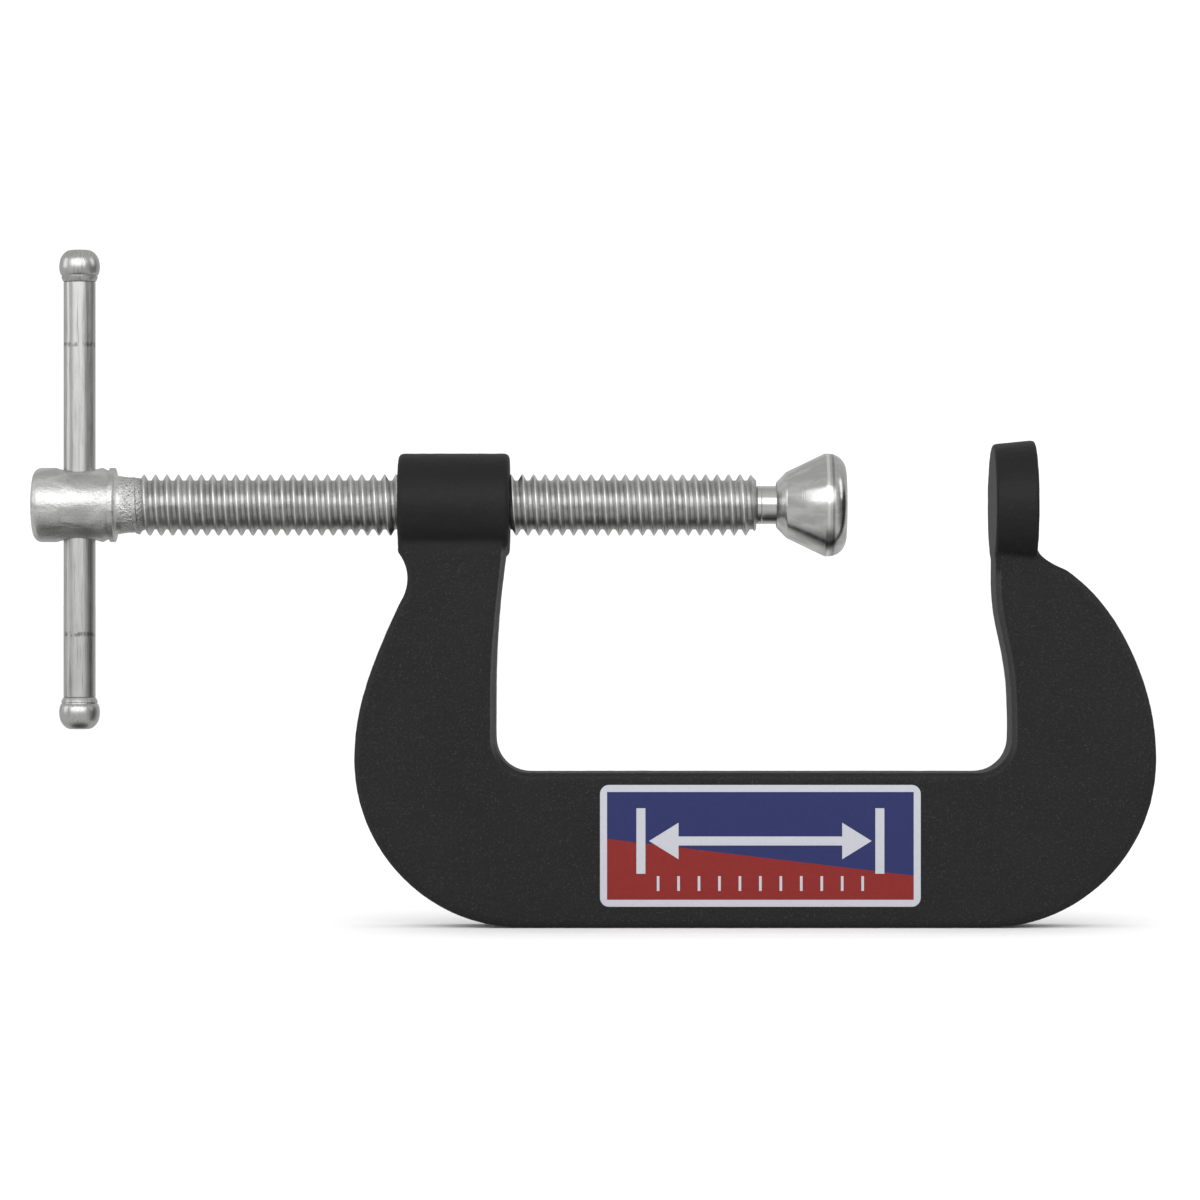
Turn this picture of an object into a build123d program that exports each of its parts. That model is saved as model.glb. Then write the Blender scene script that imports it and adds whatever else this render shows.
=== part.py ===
from build123d import *
import os
from math import radians, sin, sqrt, tan

# C clamp, 50 mm class, standing on the flat back of its frame.
# Frame of the model: origin at the centre of the anvil's clamping face, on the screw axis.
# +X runs along the screw towards the anvil, +Z is up, and Y is the thickness of the frame.
# Millimetres throughout.

# ---- driving dimensions: cast frame ----
jaw_length = 59.4          # boss face to anvil face, along the screw
throat_depth = 32.85       # screw axis down to the inner edge of the back
back_height = 19.0         # height of the straight back of the frame
frame_thickness = 9.1
left_arm_width = 17.3      # arm under the boss, at its widest
right_arm_width = 17.7     # arm under the anvil, at its widest
left_arm_setback = 1.7     # inner edge of the left arm behind the boss face
right_arm_setback = 2.1    # inner edge of the right arm behind the anvil face
outer_corner_radius = 20.6
inner_corner_radius = 4.2
edge_break = 0.55          # bevel along the rim of the casting
boss_length = 13.7
boss_diameter = 12.7
boss_round = 0.65
anvil_thickness = 5.2
anvil_face_diameter = 15.0
anvil_back_diameter = 16.0
anvil_round = 0.4

# ---- driving dimensions: screw and its thread ----
thread_pitch = 25.4 / 18   # 18 threads per inch, right hand, single start
thread_major_diameter = 7.56
thread_depth = 0.76
thread_crest = 0.18        # width of the flat along the crest
thread_turns = 54
blank_diameter = 7.05      # plain neck between the head and the thread
neck_length = 2.6
head_diameter = 9.17
head_length = 10.6
head_chamfer = 0.9
saddle_depth = 0.5         # hollow in the head at each end of the cross hole
saddle_radius = 8.5
groove_depth = 0.2
groove_width = 0.35
groove_offset = 0.7        # groove, from the neck side of the head

# ---- driving dimensions: ball stud and swivel pad ----
stud_diameter = 4.7
neck_gap = 2.5             # neck seen between the thread and the pad
shank_diameter = 3.0
shank_length = 8.0
stud_throat_diameter = 3.6  # neck of the stud just behind the ball
stud_step = 0.6            # cone between the neck and its narrow part
ball_diameter = 6.2
pad_back_wall = 0.9        # behind the ball's socket
pad_diameter = 12.67
pad_lip_diameter = 8.1
pad_lip_length = 1.2
pad_face_diameter = 8.2    # flat of the face, inside its rounded rim
pad_rim_length = 2.7       # band and rounded rim between the cone and the face
pad_rim_round = 2.2
pad_floor = 1.3            # wall between the ball socket and the face
pad_opening = 18.0         # pad face to anvil face, as stored
pad_tilt_limit = 4.0       # degrees, each way

# ---- driving dimensions: sliding bar ----
bar_diameter = 3.93
bar_span = 51.2            # between the inner faces of the two caps
bar_offset = 1.9           # middle of the bar above the screw axis, as stored
spigot_diameter = 2.8
spigot_length = 2.5
cap_diameter = 5.05
cap_length = 3.9
cap_round = 1.1
cap_base_chamfer = 0.35
bar_head_offset = 6.1      # bar axis from the outer end of the head

# ---- driving dimensions: label ----
label_length = 39.2
label_height = 14.9
label_thickness = 0.2
label_corner_radius = 1.1
label_rise = 0.6           # centre of the label above the middle of the back
label_place = 28.7         # centre of the label, behind the anvil face

# ---- clearances ----
bore_clearance = 0.10      # crests of the screw in the boss, radial
bar_clearance = 0.10       # sliding bar in the cross hole, radial
stud_clearance = 0.05      # stud shank in its bore, and shoulder to screw end
socket_clearance = 0.10    # ball in the pad's socket, radial
lip_clearance = 0.08       # pad lip to stud at full tilt, radial

# ---- places worked out from the sizes ----
axis = Axis.X
x_boss_face = -jaw_length
x_boss_back = x_boss_face - boss_length
x_left_inner = x_boss_face - left_arm_setback
x_left_outer = x_left_inner - left_arm_width
x_right_inner = right_arm_setback
x_right_outer = x_right_inner + right_arm_width
z_back_top = -throat_depth
z_back_bottom = z_back_top - back_height
z_outer_centre = z_back_bottom + outer_corner_radius
thread_major_radius = thread_major_diameter / 2
thread_minor_radius = thread_major_radius - thread_depth
ball_radius = ball_diameter / 2
socket_radius = ball_radius + socket_clearance

x_pad_face = -pad_opening
x_ball = x_pad_face - pad_floor - socket_radius
x_pad_back = x_ball - socket_radius - pad_back_wall
x_thread_end = x_pad_back - neck_gap
x_thread_start = x_thread_end - thread_turns * thread_pitch
x_head_neck = x_thread_start - neck_length
x_head_end = x_head_neck - head_length
x_bar = x_head_end + bar_head_offset

half_span = bar_span / 2
z_bar_top = bar_offset + half_span
z_bar_bottom = bar_offset - half_span


def thread_profile():
    """Points along the outside of the thread, from its start to its end, one ridge for each turn."""
    flank_run = thread_depth * tan(radians(30))
    points = []
    for turn in range(thread_turns):
        x_turn = x_thread_start + turn * thread_pitch
        points += [
            (x_turn, thread_minor_radius),
            (x_turn + flank_run, thread_major_radius),
            (x_turn + flank_run + thread_crest, thread_major_radius),
            (x_turn + 2 * flank_run + thread_crest, thread_minor_radius),
        ]
    points.append((x_thread_end, thread_minor_radius))
    return points


# ---- frame casting: C-shaped plate, threaded boss and anvil in one piece ----
boss_radius = boss_diameter / 2
left_notch = (x_boss_back + 0.3, -boss_radius - 5.65)
right_shoulder = (right_arm_setback + 6.8, -8.1)

with BuildPart() as frame_casting:
    with BuildSketch(Plane.XZ) as profile:
        with BuildLine() as outline:
            # outside, from the boss down the left arm and along the back
            ThreePointArc(
                (x_boss_back, -boss_radius + 0.6),
                (x_boss_back + 1.2, -boss_radius - 3.05),
                left_notch,
            )
            Spline(
                left_notch,
                (x_left_outer + 1.75, z_outer_centre + 10),
                (x_left_outer, z_outer_centre),
                tangents=[(-0.42, -0.9), (0, -1)],
            )
            RadiusArc(
                (x_left_outer, z_outer_centre),
                (x_left_outer + outer_corner_radius, z_back_bottom),
                -outer_corner_radius,
            )
            Line(
                (x_left_outer + outer_corner_radius, z_back_bottom),
                (x_right_outer - outer_corner_radius, z_back_bottom),
            )
            RadiusArc(
                (x_right_outer - outer_corner_radius, z_back_bottom),
                (x_right_outer, z_outer_centre),
                -outer_corner_radius,
            )
            Spline(
                (x_right_outer, z_outer_centre),
                (x_right_outer - 3.1, z_outer_centre + 13.4),
                right_shoulder,
                tangents=[(0, 1), (-0.82, 0.57)],
            )
            # over the shoulder to the back of the anvil, and down its face side
            Spline(
                right_shoulder,
                (anvil_thickness + 0.9, -6.6),
                (anvil_thickness - 0.1, -4.6),
                tangents=[(-0.9, 0.44), (0, 1)],
            )
            Line((anvil_thickness - 0.1, -4.6), (0.1, -4.6))
            Line((0.1, -4.6), (0.1, -9.5))
            Spline(
                (0.1, -9.5),
                (x_right_inner - 0.45, -19.6),
                (x_right_inner, z_back_top + inner_corner_radius + 1.2),
                tangents=[(0, -1), (0, -1)],
            )
            Line(
                (x_right_inner, z_back_top + inner_corner_radius + 1.2),
                (x_right_inner, z_back_top + inner_corner_radius),
            )
            RadiusArc(
                (x_right_inner, z_back_top + inner_corner_radius),
                (x_right_inner - inner_corner_radius, z_back_top),
                inner_corner_radius,
            )
            # inner edge of the back, up the left arm to the boss face, and across inside the boss
            Line(
                (x_right_inner - inner_corner_radius, z_back_top),
                (x_left_inner + inner_corner_radius, z_back_top),
            )
            RadiusArc(
                (x_left_inner + inner_corner_radius, z_back_top),
                (x_left_inner, z_back_top + inner_corner_radius),
                inner_corner_radius,
            )
            Line(
                (x_left_inner, z_back_top + inner_corner_radius),
                (x_left_inner, z_back_top + inner_corner_radius + 5),
            )
            Spline(
                (x_left_inner, z_back_top + inner_corner_radius + 5),
                (x_boss_face - 1.0, -10.4),
                (x_boss_face - 0.3, -4.6),
                tangents=[(0, 1), (0.1, 1)],
            )
            Polyline(
                (x_boss_face - 0.3, -4.6),
                (x_boss_face - 0.3, -boss_radius / 2),
                (x_boss_back + 0.3, -boss_radius / 2),
                (x_boss_back, -boss_radius + 0.6),
            )
        make_face()
    extrude(amount=frame_thickness / 2, both=True)
    rim = frame_casting.edges().filter_by(Plane.XZ)
    chamfer(rim, edge_break)

    # boss, and the anvil disc with its slight draft
    with BuildSketch(Plane.XZ):
        with BuildLine():
            Polyline(
                (x_boss_back, 0), (x_boss_back, boss_radius), (x_boss_face, boss_radius), (x_boss_face, 0),
                close=True,
            )
        boss_section = make_face()
        corners = boss_section.vertices().group_by(Axis.Y)[-1]
        fillet(corners, boss_round)
    revolve(axis=axis)
    with BuildSketch(Plane.XZ):
        with BuildLine():
            Polyline(
                (0, 0), (0, anvil_face_diameter / 2),
                (anvil_thickness, anvil_back_diameter / 2), (anvil_thickness, 0),
                close=True,
            )
        anvil_section = make_face()
        fillet(anvil_section.vertices().group_by(Axis.Y)[-2:], anvil_round)
    revolve(axis=axis)

    # bore of the boss, which the crests of the screw run in
    with BuildSketch(Plane.YZ.offset(x_boss_back)):
        Circle(thread_major_radius + bore_clearance)
    extrude(amount=boss_length, mode=Mode.SUBTRACT)
frame_casting.part.label = "frame_casting"

# ---- label on the front of the back ----
with BuildPart() as label:
    with BuildSketch(Plane.XZ.offset(frame_thickness / 2)):
        with Locations((-label_place, (z_back_top + z_back_bottom) / 2 + label_rise)):
            RectangleRounded(label_length, label_height, label_corner_radius)
    extrude(amount=label_thickness)
label.part.label = "label"

# ---- clamp screw: round head with a cross hole, neck, and rolled thread ----
shank_bore_radius = shank_diameter / 2 + stud_clearance
with BuildPart() as clamp_screw:
    head_radius = head_diameter / 2
    x_groove = x_head_neck - groove_offset
    with BuildSketch(Plane.XZ):
        with BuildLine():
            Line((x_head_end, 0), (x_head_end, head_radius - head_chamfer))
            RadiusArc(
                (x_head_end, head_radius - head_chamfer),
                (x_head_end + head_chamfer, head_radius),
                head_chamfer,
            )
            Polyline(
                (x_head_end + head_chamfer, head_radius),
                (x_groove - groove_width, head_radius),
                (x_groove - groove_width, head_radius - groove_depth),
                (x_groove, head_radius - groove_depth),
                (x_groove, head_radius),
                (x_head_neck, head_radius),
                (x_head_neck, blank_diameter / 2),
                (x_thread_start, blank_diameter / 2),
                (x_thread_start, 0),
                (x_head_end, 0),
            )
        make_face()
    revolve(axis=axis)
    saddle_rise = head_radius - saddle_depth + saddle_radius
    with BuildSketch(Plane.XZ):
        with Locations((x_bar, saddle_rise), (x_bar, -saddle_rise)):
            Circle(saddle_radius)
    extrude(amount=head_diameter, both=True, mode=Mode.SUBTRACT)
    with BuildSketch(Plane.XY):
        with Locations((x_bar, 0)):
            Circle(bar_diameter / 2 + bar_clearance)
    extrude(amount=head_diameter, both=True, mode=Mode.SUBTRACT)
    with BuildSketch(Plane.XZ):
        with BuildLine():
            Polyline((x_thread_start, 0), *thread_profile(), (x_thread_end, 0), close=True)
        make_face()
    revolve(axis=axis)
    with BuildSketch(Plane.YZ.offset(x_thread_end)):
        Circle(shank_bore_radius)
    extrude(amount=-(shank_length + 2 * stud_clearance), mode=Mode.SUBTRACT)
clamp_screw.part.label = "clamp_screw"

# ---- ball stud: shank in the end of the screw, neck, and ball in the pad ----
x_shoulder = x_thread_end + stud_clearance
x_neck_end = x_pad_back + 0.2
stud_radius = stud_diameter / 2
throat_radius = stud_throat_diameter / 2
x_ball_root = x_ball - sqrt(ball_radius**2 - throat_radius**2)
with BuildPart() as ball_stud:
    with BuildSketch(Plane.XZ):
        with BuildLine():
            Polyline(
                (x_ball + ball_radius, 0),
                (x_shoulder - shank_length, 0),
                (x_shoulder - shank_length, shank_diameter / 2),
                (x_shoulder, shank_diameter / 2),
                (x_shoulder, stud_radius),
                (x_neck_end, stud_radius),
                (x_neck_end + stud_step, throat_radius),
                (x_ball_root, throat_radius),
            )
            ThreePointArc(
                (x_ball_root, throat_radius),
                (x_ball, ball_radius),
                (x_ball + ball_radius, 0),
            )
        make_face()
    revolve(axis=axis)
ball_stud.part.label = "ball_stud"

# ---- swivel pad: cone crimped over the ball, with a rounded rim at the face ----
pad_radius = pad_diameter / 2
back_reach = x_ball - x_pad_back
lip_bore_radius = stud_radius + back_reach * tan(radians(pad_tilt_limit)) + lip_clearance
crimp_radius = (throat_radius + ball_radius) / 2
x_crimp = x_ball - sqrt(socket_radius**2 - crimp_radius**2)
rim_drop = pad_radius - pad_face_diameter / 2
half_way = sin(radians(45))
with BuildPart() as swivel_pad:
    with BuildSketch(Plane.XZ):
        with BuildLine():
            Polyline(
                (x_ball + socket_radius, 0),
                (x_pad_face, 0),
                (x_pad_face, pad_face_diameter / 2),
            )
            ThreePointArc(
                (x_pad_face, pad_face_diameter / 2),
                (x_pad_face - pad_rim_round * (1 - half_way), pad_face_diameter / 2 + rim_drop * half_way),
                (x_pad_face - pad_rim_round, pad_radius),
            )
            Polyline(
                (x_pad_face - pad_rim_round, pad_radius),
                (x_pad_face - pad_rim_length, pad_radius),
                (x_pad_back + pad_lip_length, pad_lip_diameter / 2),
                (x_pad_back, lip_bore_radius + 0.1),
                (x_pad_back, lip_bore_radius),
                (x_pad_back + 0.5, lip_bore_radius),
                (x_crimp, crimp_radius),
            )
            ThreePointArc(
                (x_crimp, crimp_radius),
                (x_ball, socket_radius),
                (x_ball + socket_radius, 0),
            )
        make_face()
    revolve(axis=axis)
swivel_pad.part.label = "swivel_pad"

# ---- sliding bar with a spigot at each end, and its two caps ----
with BuildPart() as sliding_bar:
    with BuildSketch(Plane.XY.offset(z_bar_bottom)):
        with Locations((x_bar, 0)):
            Circle(bar_diameter / 2)
    extrude(amount=bar_span)
    with BuildSketch(Plane.XY.offset(z_bar_bottom - spigot_length)):
        with Locations((x_bar, 0)):
            Circle(spigot_diameter / 2)
    extrude(amount=bar_span + 2 * spigot_length)
sliding_bar.part.label = "sliding_bar"


def bar_cap(z_inner, outward):
    """Barrel cap from its inner face outward, with a blind bore for the spigot of the bar."""
    radius = cap_diameter / 2
    bore_end = z_inner + outward * spigot_length
    with BuildPart() as cap:
        with BuildSketch(Plane.XZ):
            with BuildLine():
                Polyline(
                    (x_bar, bore_end),
                    (x_bar + spigot_diameter / 2, bore_end),
                    (x_bar + spigot_diameter / 2, z_inner),
                    (x_bar + radius - cap_base_chamfer, z_inner),
                    (x_bar + radius, z_inner + outward * cap_base_chamfer),
                    (x_bar + radius, z_inner + outward * (cap_length - cap_round)),
                )
                ThreePointArc(
                    (x_bar + radius, z_inner + outward * (cap_length - cap_round)),
                    (
                        x_bar + radius - cap_round * (1 - sin(radians(45))),
                        z_inner + outward * (cap_length - cap_round * (1 - sin(radians(45)))),
                    ),
                    (x_bar + radius - cap_round, z_inner + outward * cap_length),
                )
                Polyline(
                    (x_bar + radius - cap_round, z_inner + outward * cap_length),
                    (x_bar, z_inner + outward * cap_length),
                    (x_bar, bore_end),
                )
            make_face()
        revolve(axis=Axis((x_bar, 0, 0), (0, 0, 1)))
    return cap.part


upper_bar_cap = bar_cap(z_bar_top, 1)
upper_bar_cap.label = "upper_bar_cap"
lower_bar_cap = bar_cap(z_bar_bottom, -1)
lower_bar_cap.label = "lower_bar_cap"

pieces = [
    frame_casting.part,
    label.part,
    clamp_screw.part,
    ball_stud.part,
    swivel_pad.part,
    sliding_bar.part,
    upper_bar_cap,
    lower_bar_cap,
]
os.makedirs("parts", exist_ok=True)
for piece in pieces:
    export_step(piece, f"parts/{piece.label}.step")
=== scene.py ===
from math import cos, pi, radians, sin, sqrt

import bmesh
import bpy
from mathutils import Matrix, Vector


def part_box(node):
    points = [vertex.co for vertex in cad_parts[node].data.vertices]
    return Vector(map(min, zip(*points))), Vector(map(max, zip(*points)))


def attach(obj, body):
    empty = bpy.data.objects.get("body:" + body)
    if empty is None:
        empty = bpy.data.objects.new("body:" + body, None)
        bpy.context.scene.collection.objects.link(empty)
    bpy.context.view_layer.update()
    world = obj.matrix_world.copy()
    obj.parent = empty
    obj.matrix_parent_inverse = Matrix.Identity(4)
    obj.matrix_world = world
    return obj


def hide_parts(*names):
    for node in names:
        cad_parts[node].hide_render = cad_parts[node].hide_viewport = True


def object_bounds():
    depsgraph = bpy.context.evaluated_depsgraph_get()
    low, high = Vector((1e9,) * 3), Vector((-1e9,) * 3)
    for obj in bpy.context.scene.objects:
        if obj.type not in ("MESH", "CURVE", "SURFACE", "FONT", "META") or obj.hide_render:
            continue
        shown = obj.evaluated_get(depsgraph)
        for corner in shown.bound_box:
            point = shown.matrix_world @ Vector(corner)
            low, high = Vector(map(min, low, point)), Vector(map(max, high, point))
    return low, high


# C clamp, standing on the flat back of its cast frame. Metres.
# The origin is the middle of the anvil's face, X runs along the screw and Z is up.
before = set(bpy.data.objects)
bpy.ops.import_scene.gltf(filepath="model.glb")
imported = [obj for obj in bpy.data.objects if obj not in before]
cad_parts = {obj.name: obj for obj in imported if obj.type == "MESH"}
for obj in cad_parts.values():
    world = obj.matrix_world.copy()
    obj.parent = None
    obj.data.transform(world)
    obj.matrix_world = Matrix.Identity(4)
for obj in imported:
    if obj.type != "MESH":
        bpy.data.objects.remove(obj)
cad_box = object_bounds()
MM = 0.001

screw_low, screw_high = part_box("clamp_screw")
pad_low, pad_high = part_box("swivel_pad")
stud_low, stud_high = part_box("ball_stud")
bar_low, bar_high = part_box("sliding_bar")
upper_cap_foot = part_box("upper_bar_cap")[0].z
lower_cap_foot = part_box("lower_bar_cap")[1].z
label_low, label_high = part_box("label")

# What runs or swivels in a hole has this much room round it.
running_gap = 0.10 * MM
shank_radius = 1.5 * MM
spigot_radius = 1.4 * MM


# ---- the bench: small helpers for modelling by hand ----

def clear_selection():
    """Leaves edit mode and lets go of everything."""
    if bpy.context.object and bpy.context.object.mode == "EDIT":
        bpy.ops.object.mode_set(mode="OBJECT")
    bpy.ops.object.select_all(action="DESELECT")


def take(piece):
    """Makes one piece the only one held."""
    clear_selection()
    bpy.context.view_layer.objects.active = piece
    piece.select_set(True)


def edit(piece):
    """Takes a piece into edit mode with nothing selected."""
    take(piece)
    bpy.ops.object.mode_set(mode="EDIT")
    bpy.ops.mesh.select_mode(type="VERT")
    bpy.ops.mesh.select_all(action="DESELECT")


def choose(kind, wanted):
    """Selects the faces, edges or vertices whose middle passes the test. The piece is in edit mode."""
    bpy.ops.mesh.select_mode(type={"verts": "VERT", "edges": "EDGE", "faces": "FACE"}[kind])
    bpy.ops.mesh.select_all(action="DESELECT")
    piece = bpy.context.object
    mesh = bmesh.from_edit_mesh(piece.data)
    for item in getattr(mesh, kind):
        corners = [item.co] if kind == "verts" else [corner.co for corner in item.verts]
        middle = sum(corners, Vector()) / len(corners)
        if wanted(middle):
            item.select_set(True)
    mesh.select_flush_mode()
    bmesh.update_edit_mesh(piece.data)


def finish_mesh(piece, smooth_angle=35):
    """Merges doubles, points the faces outwards and smooths the gentle edges."""
    edit(piece)
    bpy.ops.mesh.select_all(action="SELECT")
    bpy.ops.mesh.remove_doubles(threshold=0.0005 * MM)
    bpy.ops.mesh.normals_make_consistent(inside=False)
    bpy.ops.object.mode_set(mode="OBJECT")
    bpy.ops.object.shade_smooth_by_angle(angle=radians(smooth_angle))


def apply_modifier(piece, kind, **settings):
    """Adds a modifier with its settings and applies it."""
    take(piece)
    modifier = piece.modifiers.new(kind.lower(), kind)
    for setting, value in settings.items():
        setattr(modifier, setting, value)
    bpy.ops.object.modifier_apply(modifier=modifier.name)


def combine(piece, tool, operation):
    """Joins, cuts or trims a piece with a tool, and puts the tool away."""
    apply_modifier(piece, "BOOLEAN", object=tool, operation=operation, solver="EXACT")
    bpy.data.objects.remove(tool)


def turn(name, stations, along="X", centre=(0, 0, 0), sides=96, smooth_angle=35):
    """A piece turned on a lathe: a disc is drawn out from station to station, each a place and a radius."""
    direction = Vector((1, 0, 0)) if along == "X" else Vector((0, 0, 1))
    middle = Vector(centre)
    place, radius = stations[0]
    clear_selection()
    bpy.ops.mesh.primitive_circle_add(
        vertices=sides, radius=radius, fill_type="NGON", location=middle + direction * place,
        rotation=(0, pi / 2, 0) if along == "X" else (0, 0, 0),
    )
    piece = bpy.context.object
    piece.name = name
    bpy.ops.object.transform_apply(location=True, rotation=True, scale=True)
    bpy.ops.object.mode_set(mode="EDIT")
    bpy.ops.mesh.select_mode(type="FACE")
    bpy.ops.mesh.select_all(action="SELECT")
    for next_place, next_radius in stations[1:]:
        growth = next_radius / radius
        bpy.ops.mesh.extrude_region_move(
            TRANSFORM_OT_translate={"value": direction * (next_place - place)}
        )
        bpy.ops.transform.resize(
            value=(1, growth, growth) if along == "X" else (growth, growth, 1),
            center_override=middle + direction * next_place,
        )
        place, radius = next_place, next_radius
    bpy.ops.object.mode_set(mode="OBJECT")
    finish_mesh(piece, smooth_angle)
    return piece


def quarter_round(place, radius, size, steps=5):
    """Stations of a rounded corner of a turned piece, from just past its end face to its side."""
    corner = []
    for i in range(1, steps + 1):
        angle = pi / 2 * i / steps
        corner.append((place + size * (1 - cos(angle)), radius - size + size * sin(angle)))
    return corner


# ---- finishes ----

class Wire:
    """A value or colour that varies over a surface. Arithmetic on wires adds Math nodes."""

    def __init__(self, finish, socket):
        self.finish = finish
        self.socket = socket

    def maths(self, operation, *terms):
        return self.finish.node("ShaderNodeMath", {"operation": operation}, dict(enumerate(terms)))

    def __add__(self, other):
        return self.maths("ADD", self, other)

    __radd__ = __add__

    def __sub__(self, other):
        return self.maths("SUBTRACT", self, other)

    def __rsub__(self, other):
        return self.maths("SUBTRACT", other, self)

    def __mul__(self, other):
        return self.maths("MULTIPLY", self, other)

    __rmul__ = __mul__

    def __pow__(self, other):
        return self.maths("POWER", self, other)

    def __abs__(self):
        return self.maths("ABSOLUTE", self)

    def __lt__(self, other):
        return self.maths("LESS_THAN", self, other)

    def __gt__(self, other):
        return self.maths("GREATER_THAN", self, other)

    def fade(self, start, end):
        """0 at start, 1 at end, smooth between them and level outside."""
        return self.finish.node(
            "ShaderNodeMapRange", {"interpolation_type": "SMOOTHSTEP"},
            {"Value": self, "From Min": start, "From Max": end, "To Min": 0.0, "To Max": 1.0},
        )


class Finish:
    """A material with its shader, and the place on the piece as wires x, y and z in metres."""

    def __init__(self, name, **shader_values):
        self.material = bpy.data.materials.new(name)
        self.material.use_nodes = True
        self.tree = self.material.node_tree
        self.shader = self.tree.nodes["Principled BSDF"]
        for socket, value in shader_values.items():
            self.shader.inputs[socket.replace("_", " ")].default_value = value
        self.place = self.node("ShaderNodeTexCoord", {}, {}, "Object")
        self.x = self.node("ShaderNodeSeparateXYZ", {}, {"Vector": self.place}, "X")
        self.y = self.node("ShaderNodeSeparateXYZ", {}, {"Vector": self.place}, "Y")
        self.z = self.node("ShaderNodeSeparateXYZ", {}, {"Vector": self.place}, "Z")

    def node(self, kind, settings, sockets, output=0):
        """Adds one node: its settings first, then the values or wires of its sockets."""
        made = self.tree.nodes.new(kind)
        for setting, value in settings.items():
            setattr(made, setting, value)
        for socket, value in sockets.items():
            if isinstance(value, Wire):
                self.tree.links.new(value.socket, made.inputs[socket])
            else:
                made.inputs[socket].default_value = value
        return Wire(self, made.outputs[output])

    def noise(self, size, detail=3.0, stretch=(1, 1, 1), distortion=0.0):
        """Grain whose spots are about this size in metres, drawn out along the axes by stretch."""
        spread = self.node(
            "ShaderNodeVectorMath", {"operation": "DIVIDE"}, {0: self.place, 1: stretch}
        )
        return self.node(
            "ShaderNodeTexNoise", {},
            {"Vector": spread, "Scale": 1 / size, "Detail": detail, "Distortion": distortion},
        )

    def mix(self, factor, first, second):
        """One colour turning into another."""
        return self.node(
            "ShaderNodeMix", {"data_type": "RGBA"}, {0: factor, 6: first, 7: second}, 2
        )

    def relief(self, height, depth):
        """Bump of the surface. Depth is the height in metres of a full step of the wire."""
        self.feed("Normal", self.node(
            "ShaderNodeBump", {}, {"Height": height, "Distance": depth, "Strength": 1.0}
        ))

    def feed(self, socket, wire):
        """Links a wire to a socket of the shader."""
        self.tree.links.new(wire.socket, self.shader.inputs[socket])


def black_enamel():
    """Semi-matt black enamel over the skin of a sand casting, with a painted highlight along the bevels of
    the plate.
    """
    finish = Finish("black_enamel", Metallic=0.0, IOR=1.45, Specular_IOR_Level=0.25)
    facing = finish.node("ShaderNodeTexCoord", {}, {}, "Normal")
    flatness = abs(finish.node("ShaderNodeSeparateXYZ", {}, {"Vector": facing}, "Y"))
    skin = finish.noise(0.42 * MM, 4.0)
    grit = finish.noise(0.20 * MM, 3.0)
    patches = finish.noise(7 * MM, 3.0)
    plate = finish.z.fade(-4.6 * MM, -6.6 * MM)
    specks = grit.fade(0.56, 0.70) * (0.25 + 0.75 * plate)
    # A painted highlight lies on the slope between face and edge, most along the throat's arm under the
    # boss, whose bevel faces the light.
    throat_middle = -29.6 * MM
    throat_reach = 33.4 * MM
    boss_arm = finish.x < -30 * MM
    anvil_arm = finish.x > -30 * MM
    inside = (abs(finish.x - throat_middle) < throat_reach) * finish.z.fade(-32.0 * MM, -28.5 * MM)
    below = (finish.z + anvil_arm * 2.8 * MM).fade(-5.0 * MM, -6.0 * MM)
    slope = flatness.fade(0.985, 0.93) * flatness.fade(0.12, 0.35)
    bevel = slope * below * (0.1 + inside * (0.35 + 0.45 * boss_arm))
    tone = finish.mix(patches, (0.0062, 0.0062, 0.0064, 1), (0.0098, 0.0098, 0.0100, 1))
    tone = finish.mix(specks * 0.8, tone, (0.029, 0.029, 0.028, 1))
    # The bevel mask lightens the black to grey: a painted highlight on the lit bevels.
    finish.feed("Base Color", finish.mix(bevel * (0.55 + 0.45 * skin), tone, (0.062, 0.062, 0.061, 1)))
    finish.feed("Roughness", 0.42 + 0.18 * skin)
    finish.relief((skin * 0.7 + grit * 0.5) * (0.35 + 0.65 * plate), 0.11 * MM)
    return finish.material


def zinc_plate():
    """Bright zinc plate on the screw, with painted shade in the thread's roots and a painted highlight along
    its crests.
    """
    finish = Finish("zinc_plate", Metallic=1.0)
    radius = (finish.y * finish.y + finish.z * finish.z) ** 0.5
    turned = finish.noise(0.20 * MM, 3.0, (1, 9, 9))
    streaks = finish.noise(0.26 * MM, 4.0, (7, 1, 1), 0.5)
    blotches = finish.noise(1.5 * MM, 4.0, (2.5, 1, 1), 0.6)
    pits = finish.noise(0.26 * MM, 3.0)
    threaded = finish.x.fade(thread_start - 0.6 * MM, thread_start + 0.6 * MM)
    root = threaded * (1 - radius.fade(3.0 * MM, 3.72 * MM))
    crest = threaded * radius.fade(3.55 * MM, 3.75 * MM)
    rough_neck = finish.x.fade(head_neck + 0.3 * MM, head_neck + 1.2 * MM) * (
        1 - finish.x.fade(thread_start + 0.2 * MM, thread_start + 1.8 * MM)
    )
    bright = finish.mix(blotches.fade(0.35, 0.65), (0.56, 0.56, 0.555, 1), (0.74, 0.74, 0.73, 1))
    bright = finish.mix(pits.fade(0.56, 0.68) * (0.25 + 0.7 * rough_neck), bright, (0.20, 0.20, 0.195, 1))
    # Painted shade: the thread's roots are darkened.
    bright = finish.mix(root * (0.15 + 0.45 * turned), bright, (0.22, 0.22, 0.215, 1))
    # Painted highlight: the thread's crests are lightened.
    finish.feed("Base Color", finish.mix(crest * 0.7, bright, (0.80, 0.80, 0.79, 1)))
    finish.feed("Roughness", 0.22 + 0.20 * blotches + 0.10 * turned)
    forged = streaks * 0.25 + blotches * 0.7 + pits * 0.35
    skin = turned * 0.3 + forged * (1 - threaded * 0.8) + pits * (0.20 + 2.6 * rough_neck)
    finish.relief(skin, 0.075 * MM)
    return finish.material


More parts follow.
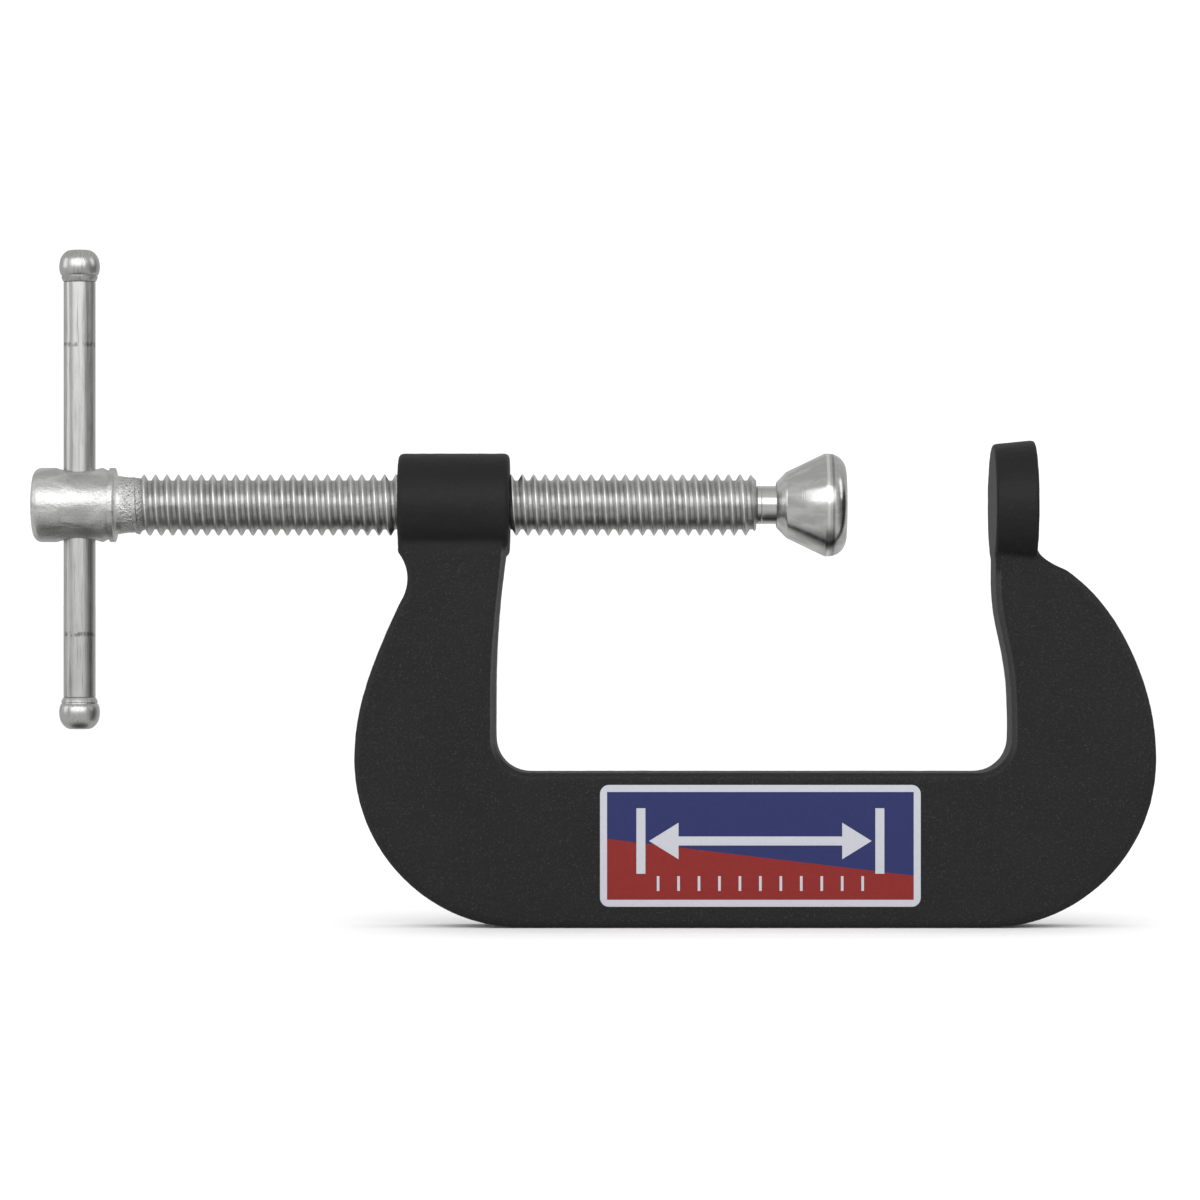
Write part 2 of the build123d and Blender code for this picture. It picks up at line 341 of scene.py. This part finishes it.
def bar_plate():
    """Zinc plate on drawn bar, with streaks along it and two faint worn rings."""
    finish = Finish("bar_plate", Metallic=1.0)
    drawn = finish.noise(0.16 * MM, 3.0, (1, 1, 40))
    blotches = finish.noise(1.3 * MM, 4.0, (1, 1, 3), 0.4)
    upper_ring, lower_ring = [
        abs(finish.z - height).fade(0.40 * MM, 0.10 * MM) for height in (19.7 * MM, -15.9 * MM)
    ]
    nicks = finish.noise(0.35 * MM, 3.0, (1, 1, 2)).fade(0.40, 0.62)
    bright = finish.mix(blotches, (0.50, 0.50, 0.495, 1), (0.66, 0.66, 0.65, 1))
    bright = finish.mix(drawn.fade(0.50, 0.72) * 0.7, bright, (0.24, 0.24, 0.235, 1))
    worn = (upper_ring + lower_ring) * nicks * 0.75
    finish.feed("Base Color", finish.mix(worn, bright, (0.13, 0.13, 0.125, 1)))
    finish.feed("Roughness", 0.18 + 0.14 * blotches + 0.10 * drawn)
    finish.relief(drawn * 0.5 + blotches * 0.4, 0.022 * MM)
    return finish.material


def pad_plate():
    """Mirror-like plate on the turned pad and stud, with fine tool rings, a painted highlight ring at the
    rim and a painted shade line beside it.
    """
    finish = Finish("pad_plate", Metallic=1.0)
    rings = finish.noise(0.14 * MM, 2.0, (1, 60, 60))
    cloud = finish.noise(1.6 * MM, 3.0)
    drags = finish.noise(1.6 * MM, 2.0, (20, 1, 1))
    bright = finish.mix(drags.fade(0.35, 0.65), (0.55, 0.55, 0.545, 1), (0.74, 0.74, 0.73, 1))
    behind_face = pad_face - finish.x
    # Painted highlight: a bright ring where the cone meets the rim band. Painted shade: a dark line a little
    # nearer the face.
    edge = abs(behind_face - 2.35 * MM).fade(0.26 * MM, 0.10 * MM)
    shade = abs(behind_face - 1.75 * MM).fade(0.22 * MM, 0.08 * MM)
    bright = finish.mix(shade * (0.3 + 0.5 * cloud), bright, (0.20, 0.20, 0.195, 1))
    finish.feed("Base Color", finish.mix(edge, bright, (0.86, 0.86, 0.85, 1)))
    finish.feed("Roughness", 0.13 + 0.12 * cloud + 0.06 * rings)
    finish.relief(rings * 0.4 + cloud * 0.5 + drags * 0.8, 0.018 * MM)
    return finish.material


def printed_label():
    """Glossy sticker: white rim, blue and red fields, and a jaw-opening sign in white."""
    finish = Finish("printed_label", Metallic=0.0, Specular_IOR_Level=0.25)
    centre = (label_low + label_high) / 2
    half = (label_high - label_low) / 2
    across = finish.x - centre.x
    up = finish.z - centre.z
    rim = 0.86 * MM
    field = (abs(across) < half.x - rim) * (abs(up) < half.z - rim)
    lower_field = up + across * 0.12 < -1.4 * MM
    wing = abs(across)
    off_arrow = abs(up - 0.6 * MM)
    arrow_tip = 13.6 * MM
    shaft = (wing < 11.0 * MM) * (off_arrow < 0.55 * MM)
    heads = (off_arrow < (arrow_tip - wing) * 0.62) * (wing > 10.0 * MM) * (wing < arrow_tip)
    jaws = (abs(wing - 14.6 * MM) < 0.55 * MM) * (off_arrow < 4.0 * MM)
    tick_gap = finish.node("ShaderNodeMath", {"operation": "PINGPONG"}, {0: across, 1: 1.25 * MM})
    ticks = (tick_gap < 0.16 * MM) * (wing < 13.2 * MM) * (abs(up + 4.6 * MM) < 0.9 * MM)
    sign = shaft
    for mark in (heads, jaws, ticks):
        sign = sign.maths("MAXIMUM", sign, mark)
    ink = finish.noise(0.35 * MM, 2.0)
    blue = finish.mix(ink, (0.011, 0.015, 0.082, 1), (0.016, 0.021, 0.105, 1))
    red = finish.mix(ink, (0.165, 0.007, 0.006, 1), (0.205, 0.012, 0.010, 1))
    white = finish.mix(ink, (0.385, 0.39, 0.43, 1), (0.43, 0.435, 0.475, 1))
    print_colour = finish.mix(sign, finish.mix(lower_field, blue, red), white)
    finish.feed("Base Color", finish.mix(field, white, print_colour))
    finish.feed("Roughness", 0.34 + 0.12 * ink)
    finish.relief(finish.noise(0.5 * MM, 3.0), 0.010 * MM)
    return finish.material


def dress(piece, material, body, node):
    """Gives a piece its finish and its body, and lets it stand for its CAD node."""
    piece.data.materials.clear()
    piece.data.materials.append(material)
    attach(piece, body)
    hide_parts(node)


# ---- cast frame ----
bore_radius = 3.88 * MM
boss_length = 13.7 * MM
boss_face = -59.4 * MM
boss_back = boss_face - boss_length


def cast_frame():
    """The casting, its sharp corners rounded as sand leaves them, with a machined bore in the boss."""
    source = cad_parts["frame_casting"]
    piece = source.copy()
    piece.data = source.data.copy()
    bpy.context.scene.collection.objects.link(piece)
    piece.parent = None
    for key in list(piece.keys()):
        del piece[key]
    piece.name = "c_frame_casting"
    edit(piece)
    bpy.ops.mesh.select_all(action="SELECT")
    bpy.ops.mesh.remove_doubles(threshold=0.0005 * MM)
    # The bore is closed first, so that the rounding doesn't reach into it, and cut again last.
    choose("faces", lambda middle: (
        Vector((middle.y, middle.z)).length < bore_radius - 0.0005 * MM
        and boss_back - MM < middle.x < boss_face + MM
    ))
    bpy.ops.mesh.delete(type="FACE")
    bpy.ops.mesh.select_all(action="SELECT")
    bpy.ops.mesh.fill_holes(sides=0)
    bpy.ops.mesh.select_all(action="SELECT")
    bpy.ops.mesh.normals_make_consistent(inside=False)
    apply_modifier(piece, "REMESH", mode="VOXEL", voxel_size=0.23 * MM, use_smooth_shade=True)
    apply_modifier(piece, "SMOOTH", factor=0.5, iterations=4)
    cast_skin = bpy.data.textures.new("cast_skin", "CLOUDS")
    cast_skin.noise_scale = 1.6 * MM
    apply_modifier(
        piece, "DISPLACE", texture=cast_skin, texture_coords="LOCAL", strength=0.06 * MM, mid_level=0.5,
    )
    apply_modifier(piece, "DECIMATE", ratio=0.50)
    bore = turn("bore_tool", [
        (boss_back - 2 * MM, bore_radius), (boss_face + 2 * MM, bore_radius),
    ], sides=128)
    combine(piece, bore, "DIFFERENCE")
    finish_mesh(piece, 50)
    # The cut leaves faces of many corners round the bore's mouth, so every face is split here.
    edit(piece)
    bpy.ops.mesh.select_all(action="SELECT")
    bpy.ops.mesh.quads_convert_to_tris(quad_method="BEAUTY", ngon_method="BEAUTY")
    bpy.ops.object.mode_set(mode="OBJECT")
    return piece


# ---- screw ----
pitch = 25.4 / 18 * MM
thread_turns = 54
thread_end = screw_high.x
thread_start = thread_end - thread_turns * pitch
head_neck = thread_start - 2.6 * MM
head_end = screw_low.x
head_radius = screw_high.y
screw_radius = 3.78 * MM
blank_radius = 3.525 * MM
root_radius = 3.02 * MM
saddle_radius = 8.5 * MM
saddle_depth = 0.5 * MM
bar_place = (bar_low.x + bar_high.x) / 2
bar_radius = (bar_high.x - bar_low.x) / 2


def rolled_thread():
    """The thread's outline for one turn, swept round the screw, and closed at both ends."""
    clear_selection()
    bpy.ops.mesh.primitive_plane_add(size=MM, location=(thread_start - 2 * pitch, 0, root_radius))
    piece = bpy.context.object
    piece.name = "rolled_thread"
    bpy.ops.object.transform_apply(location=True, rotation=True, scale=True)
    bpy.ops.object.mode_set(mode="EDIT")
    bpy.ops.mesh.select_all(action="SELECT")
    bpy.ops.mesh.merge(type="CENTER")
    # Steps along the screw and outwards: root, round, flank, crest, flank, round.
    outline = [
        (0.30, 0), (0.09, 0.06), (0.36, 0.62), (0.05, 0.065), (0.07, 0.02),
        (0.07, -0.02), (0.05, -0.065), (0.36, -0.62), (0.09, -0.06),
    ]
    run = sum(step for step, rise in outline)
    for step, rise in outline:
        bpy.ops.mesh.extrude_region_move(
            TRANSFORM_OT_translate={"value": (step * pitch / run, 0, rise * MM)}
        )
    bpy.ops.object.mode_set(mode="OBJECT")
    apply_modifier(
        piece, "SCREW", axis="X", angle=2 * pi, screw_offset=pitch, iterations=thread_turns + 4,
        steps=48, render_steps=48, use_merge_vertices=True, merge_threshold=0.0005 * MM,
    )
    edit(piece)
    bpy.ops.mesh.select_all(action="SELECT")
    bpy.ops.mesh.remove_doubles(threshold=0.0005 * MM)
    for place, side in ((thread_start - 0.7 * pitch, -1), (thread_end + 0.8 * pitch, 1)):
        bpy.ops.mesh.select_all(action="SELECT")
        bpy.ops.mesh.bisect(
            plane_co=(place, 0, 0), plane_no=(side, 0, 0), use_fill=True, clear_outer=True,
            threshold=0.0001 * MM,
        )
    finish_mesh(piece)
    return piece


def screw_with_head():
    """Round head with its cross hole, hollowed at each mouth, neck and rolled thread in one piece."""
    head = turn("screw_with_head", [
        (head_end + 0.25 * MM, 1.2 * MM),
        (head_end + 0.32 * MM, 2.6 * MM),
        (head_end + 0.42 * MM, head_radius - 1.10 * MM),
        *quarter_round(head_end + 0.45 * MM, head_radius, 1.05 * MM),
        (bar_place - 2.9 * MM, head_radius),
        (bar_place + 2.9 * MM, head_radius),
        (head_neck - 1.00 * MM, head_radius - 0.30 * MM),
        (head_neck - 0.76 * MM, head_radius - 0.30 * MM),
        (head_neck - 0.70 * MM, head_radius - 0.01 * MM),
        (head_neck - 0.14 * MM, head_radius),
        (head_neck - 0.04 * MM, head_radius - 0.07 * MM),
        (head_neck, head_radius - 0.20 * MM),
        (head_neck + 0.02 * MM, blank_radius + 0.25 * MM),
        (head_neck + 0.25 * MM, blank_radius + 0.10 * MM),
        (head_neck + 0.9 * MM, blank_radius - 0.02 * MM),
        (head_neck + 1.6 * MM, blank_radius - 0.12 * MM),
        (thread_start - 0.4 * pitch, blank_radius - 0.10 * MM),
        (thread_start + 0.3 * pitch, blank_radius - 0.24 * MM),
        (thread_start + 0.9 * pitch, root_radius - 0.1 * MM),
        (thread_start + 1.4 * pitch, root_radius - 0.8 * MM),
    ])
    thread = rolled_thread()
    envelope = turn("thread_envelope", [
        (thread_start - 0.45 * pitch, blank_radius - 0.2 * MM),
        (thread_start + 0.15 * pitch, blank_radius + 0.10 * MM),
        (thread_start + 0.9 * pitch, screw_radius + 0.06 * MM),
        (thread_end - 0.72 * MM, screw_radius + 0.06 * MM),
        (thread_end, root_radius + 0.02 * MM),
    ])
    combine(thread, envelope, "INTERSECT")
    combine(head, thread, "UNION")
    for side in (1, -1):
        bpy.ops.mesh.primitive_cylinder_add(
            vertices=192, radius=saddle_radius, depth=12 * MM, rotation=(pi / 2, 0, 0),
            location=(bar_place, 0, side * (head_radius - saddle_depth + saddle_radius)),
        )
        combine(head, bpy.context.object, "DIFFERENCE")
    cross_hole = turn("cross_hole", [
        (-4.6 * MM, bar_radius + 0.40 * MM),
        (-3.9 * MM, bar_radius + running_gap),
        (3.9 * MM, bar_radius + running_gap),
        (4.6 * MM, bar_radius + 0.40 * MM),
    ], along="Z", centre=(bar_place, 0, 0))
    combine(head, cross_hole, "DIFFERENCE")
    shank_hole = shank_radius + 0.05 * MM
    shank_bore = turn("shank_bore", [
        (stud_low.x - 0.05 * MM, shank_hole), (thread_end + MM, shank_hole),
    ], sides=48)
    combine(head, shank_bore, "DIFFERENCE")
    finish_mesh(head, 38)
    return head


# ---- ball stud and pad ----
ball_radius = stud_high.y
ball_place = stud_high.x - ball_radius
pad_face = pad_high.x
pad_back = pad_low.x
pad_radius = pad_high.y


def ball_stud():
    """Shank in the screw, neck, and the ball held in the pad."""
    shoulder = thread_end + 0.05 * MM
    throat = 1.8 * MM
    root = ball_place - sqrt(ball_radius ** 2 - throat ** 2)
    steps = 18
    ball = []
    for i in range(1, steps + 1):
        angle = pi - (pi - 0.08) * i / steps
        place = ball_place + ball_radius * cos(angle)
        if place > root + 0.1 * MM:
            ball.append((place, ball_radius * sin(angle)))
    return turn("ball_stud_turned", [
        (stud_low.x, 1.3 * MM), (stud_low.x + 0.2 * MM, shank_radius),
        (shoulder, shank_radius), (shoulder, 2.22 * MM), (shoulder + 0.12 * MM, 2.35 * MM),
        (shoulder + 0.55 * MM, 2.35 * MM), (shoulder + 0.62 * MM, 2.30 * MM),
        (shoulder + 0.70 * MM, 2.35 * MM), (shoulder + 1.5 * MM, 2.33 * MM),
        (pad_back + 0.2 * MM, 2.35 * MM), (pad_back + 0.8 * MM, throat), (root, throat), *ball,
    ], sides=80)


def swivel_pad():
    """Cone crimped over the ball, with a rounded band at the face."""
    socket = ball_radius + running_gap
    lip_bore = 2.72 * MM
    flat_radius = 4.1 * MM
    rim_length = 2.2 * MM
    rim = []
    for i in range(11):
        angle = pi * i / 20
        rim.append((
            pad_face - rim_length * (1 - cos(angle)),
            flat_radius + (pad_radius - flat_radius) * sin(angle),
        ))
    hollow = []
    for i in range(13):
        angle = radians(128) * (1 - i / 12) + 0.07
        hollow.append((ball_place - socket * cos(pi - angle), socket * sin(angle)))
    return turn("swivel_pad_turned", [
        (pad_face, 1.5 * MM),
        (pad_face, 3.0 * MM),
        *rim,
        (pad_face - 2.62 * MM, pad_radius),
        (pad_face - 2.70 * MM, pad_radius - 0.02 * MM),
        (pad_back + 1.32 * MM, 4.12 * MM),
        (pad_back + 1.20 * MM, 4.03 * MM),
        (pad_back + 1.10 * MM, 3.93 * MM),
        (pad_back + 0.06 * MM, lip_bore + 0.16 * MM),
        (pad_back, lip_bore + 0.08 * MM),
        (pad_back, lip_bore),
        (pad_back + 0.5 * MM, lip_bore),
        *hollow,
    ], sides=128, smooth_angle=18)


# ---- sliding bar and its caps ----

def drawn_bar():
    """Round bar with a turned-down spigot at each end."""
    bottom = lower_cap_foot
    top = upper_cap_foot
    return turn("sliding_bar_drawn", [
        (bar_low.z, 1.2 * MM), (bar_low.z + 0.2 * MM, spigot_radius), (bottom, spigot_radius),
        (bottom, bar_radius - 0.10 * MM), (bottom + 0.10 * MM, bar_radius),
        (bottom + 11 * MM, bar_radius), (top - 12 * MM, bar_radius),
        (top - 0.10 * MM, bar_radius), (top, bar_radius - 0.10 * MM),
        (top, spigot_radius), (bar_high.z - 0.2 * MM, spigot_radius), (bar_high.z, 1.2 * MM),
    ], along="Z", centre=(bar_place, 0, 0), sides=80)


def bar_cap(name, inner, outward):
    """Barrel cap pressed on the spigot: a creased foot that runs into the bar, and a rounded crown."""
    # Distance from the foot and radius, in millimetres.
    barrel = [
        (0.0, 1.99), (0.14, 2.08), (0.34, 2.17), (0.56, 2.26), (0.66, 2.18), (0.76, 2.19), (0.88, 2.33),
        (1.25, 2.45), (1.76, 2.51), (2.20, 2.48), (2.64, 2.40), (2.95, 2.29), (3.25, 2.11), (3.50, 1.90),
        (3.70, 1.66), (3.83, 1.42), (3.89, 1.15), (3.90, 0.5),
    ]
    bore_end = inner + outward * 2.5 * MM
    return turn(name, [
        (bore_end, 0.5 * MM), (bore_end, spigot_radius), (inner, spigot_radius),
        *[(inner + outward * place * MM, radius * MM) for place, radius in barrel],
    ], along="Z", centre=(bar_place, 0, 0), sides=80)


# ---- label ----

def label_sheet():
    """Thin sticker with rounded corners and a softened edge."""
    clear_selection()
    centre = (label_low + label_high) / 2
    half = (label_high - label_low) / 2
    bpy.ops.mesh.primitive_plane_add(
        size=1, location=(centre.x, label_high.y + 0.03 * MM, centre.z), rotation=(pi / 2, 0, 0),
    )
    piece = bpy.context.object
    piece.name = "front_label"
    piece.scale = (2 * half.x, 2 * half.z, 1)
    bpy.ops.object.transform_apply(location=True, rotation=True, scale=True)
    bpy.ops.object.mode_set(mode="EDIT")
    bpy.ops.mesh.select_all(action="SELECT")
    bpy.ops.mesh.bevel(
        offset=1.1 * MM, offset_type="OFFSET", segments=8, affect="VERTICES", clamp_overlap=False,
    )
    bpy.ops.mesh.select_all(action="SELECT")
    bpy.ops.mesh.extrude_region_move(TRANSFORM_OT_translate={"value": (0, -0.13 * MM, 0)})
    bpy.ops.mesh.inset(thickness=0.05 * MM)
    bpy.ops.transform.translate(value=(0, -0.03 * MM, 0))
    finish_mesh(piece, 30)
    return piece


enamel = black_enamel()
zinc = zinc_plate()
pad_finish = pad_plate()
bar_finish = bar_plate()
dress(cast_frame(), enamel, "frame", "frame_casting")
dress(label_sheet(), printed_label(), "frame", "label")
dress(screw_with_head(), zinc, "screw", "clamp_screw")
dress(ball_stud(), pad_finish, "stud", "ball_stud")
dress(swivel_pad(), pad_finish, "pad", "swivel_pad")
dress(drawn_bar(), bar_finish, "bar", "sliding_bar")
upper_cap = bar_cap("upper_cap_pressed", upper_cap_foot, 1)
lower_cap = bar_cap("lower_cap_pressed", lower_cap_foot, -1)
dress(upper_cap, bar_finish, "bar", "upper_bar_cap")
dress(lower_cap, bar_finish, "bar", "lower_bar_cap")

# ---- floor, light and camera ----
clear_selection()
bpy.ops.mesh.primitive_plane_add(size=60, location=(0, 0, cad_box[0][2]))
floor = bpy.context.object
floor.name = "floor"
floor.visible_glossy = False
pale = Finish("pale_floor", Base_Color=(0.93, 0.93, 0.93, 1), Roughness=0.95)
floor.data.materials.append(pale.material)


def soft_light(name, place, aim, size, power):
    """A square of soft light at a place, turned towards its aim."""
    lamp = bpy.data.lights.new(name, "AREA")
    lamp.shape = "RECTANGLE"
    lamp.size, lamp.size_y = size
    lamp.energy = power
    light = bpy.data.objects.new(name, lamp)
    bpy.context.scene.collection.objects.link(light)
    light.location = place
    light.rotation_euler = (Vector(aim) - Vector(place)).to_track_quat("-Z", "Y").to_euler()


# A wide panel above the front, and two weak ones beside the clamp.
soft_light("front_light", (-0.14, -0.90, 0.40), (-0.08, 0, 0), (1.70, 0.64), 5.6)
soft_light("left_light", (-0.95, -0.10, 0.25), (-0.05, 0, -0.01), (0.35, 0.5), 0.6)
soft_light("right_light", (0.90, -0.05, 0.40), (-0.05, 0, -0.01), (0.35, 0.5), 0.8)


def studio_world():
    """White room. Shiny surfaces see it dimmer, and dark straight below and far to the right."""
    world = bpy.data.worlds.new("studio")
    bpy.context.scene.world = world
    world.use_nodes = True
    tree = world.node_tree
    background = tree.nodes["Background"]
    rays = tree.nodes.new("ShaderNodeLightPath")
    heading = tree.nodes.new("ShaderNodeTexCoord")
    parts = tree.nodes.new("ShaderNodeSeparateXYZ")
    tree.links.new(heading.outputs["Generated"], parts.inputs[0])
    shades = []
    for output, start, end, darkest in (("Z", -0.97, -0.72, 0.15), ("X", 0.97, 0.72, 0.32)):
        shade = tree.nodes.new("ShaderNodeMapRange")
        shade.interpolation_type = "SMOOTHSTEP"
        for socket, value in (("From Min", start), ("From Max", end), ("To Min", darkest), ("To Max", 1.0)):
            shade.inputs[socket].default_value = value
        tree.links.new(parts.outputs[output], shade.inputs["Value"])
        shades.append(shade)
    both = tree.nodes.new("ShaderNodeMath")
    both.operation = "MULTIPLY"
    tree.links.new(shades[0].outputs[0], both.inputs[0])
    tree.links.new(shades[1].outputs[0], both.inputs[1])
    shine = tree.nodes.new("ShaderNodeMath")
    shine.operation = "MULTIPLY"
    tree.links.new(both.outputs[0], shine.inputs[0])
    shine.inputs[1].default_value = 0.56
    strength = tree.nodes.new("ShaderNodeMix")
    strength.inputs[2].default_value = 1.12
    tree.links.new(rays.outputs["Is Glossy Ray"], strength.inputs[0])
    tree.links.new(shine.outputs[0], strength.inputs[3])
    tree.links.new(strength.outputs[0], background.inputs["Strength"])
    background.inputs["Color"].default_value = (1, 1, 1, 1)


studio_world()
camera_data = bpy.data.cameras.new("camera")
camera = bpy.data.objects.new("camera", camera_data)
bpy.context.scene.collection.objects.link(camera)
camera_distance = 0.60
view_width = 0.1478
sensor_width = 36
camera.location = (-48.3 * MM, -camera_distance, -11.7 * MM)
camera.rotation_euler = (pi / 2, 0, 0)
camera_data.sensor_width = sensor_width
camera_data.lens = sensor_width * camera_distance / view_width
bpy.context.scene.camera = camera
bpy.context.scene.view_settings.view_transform = "Standard"
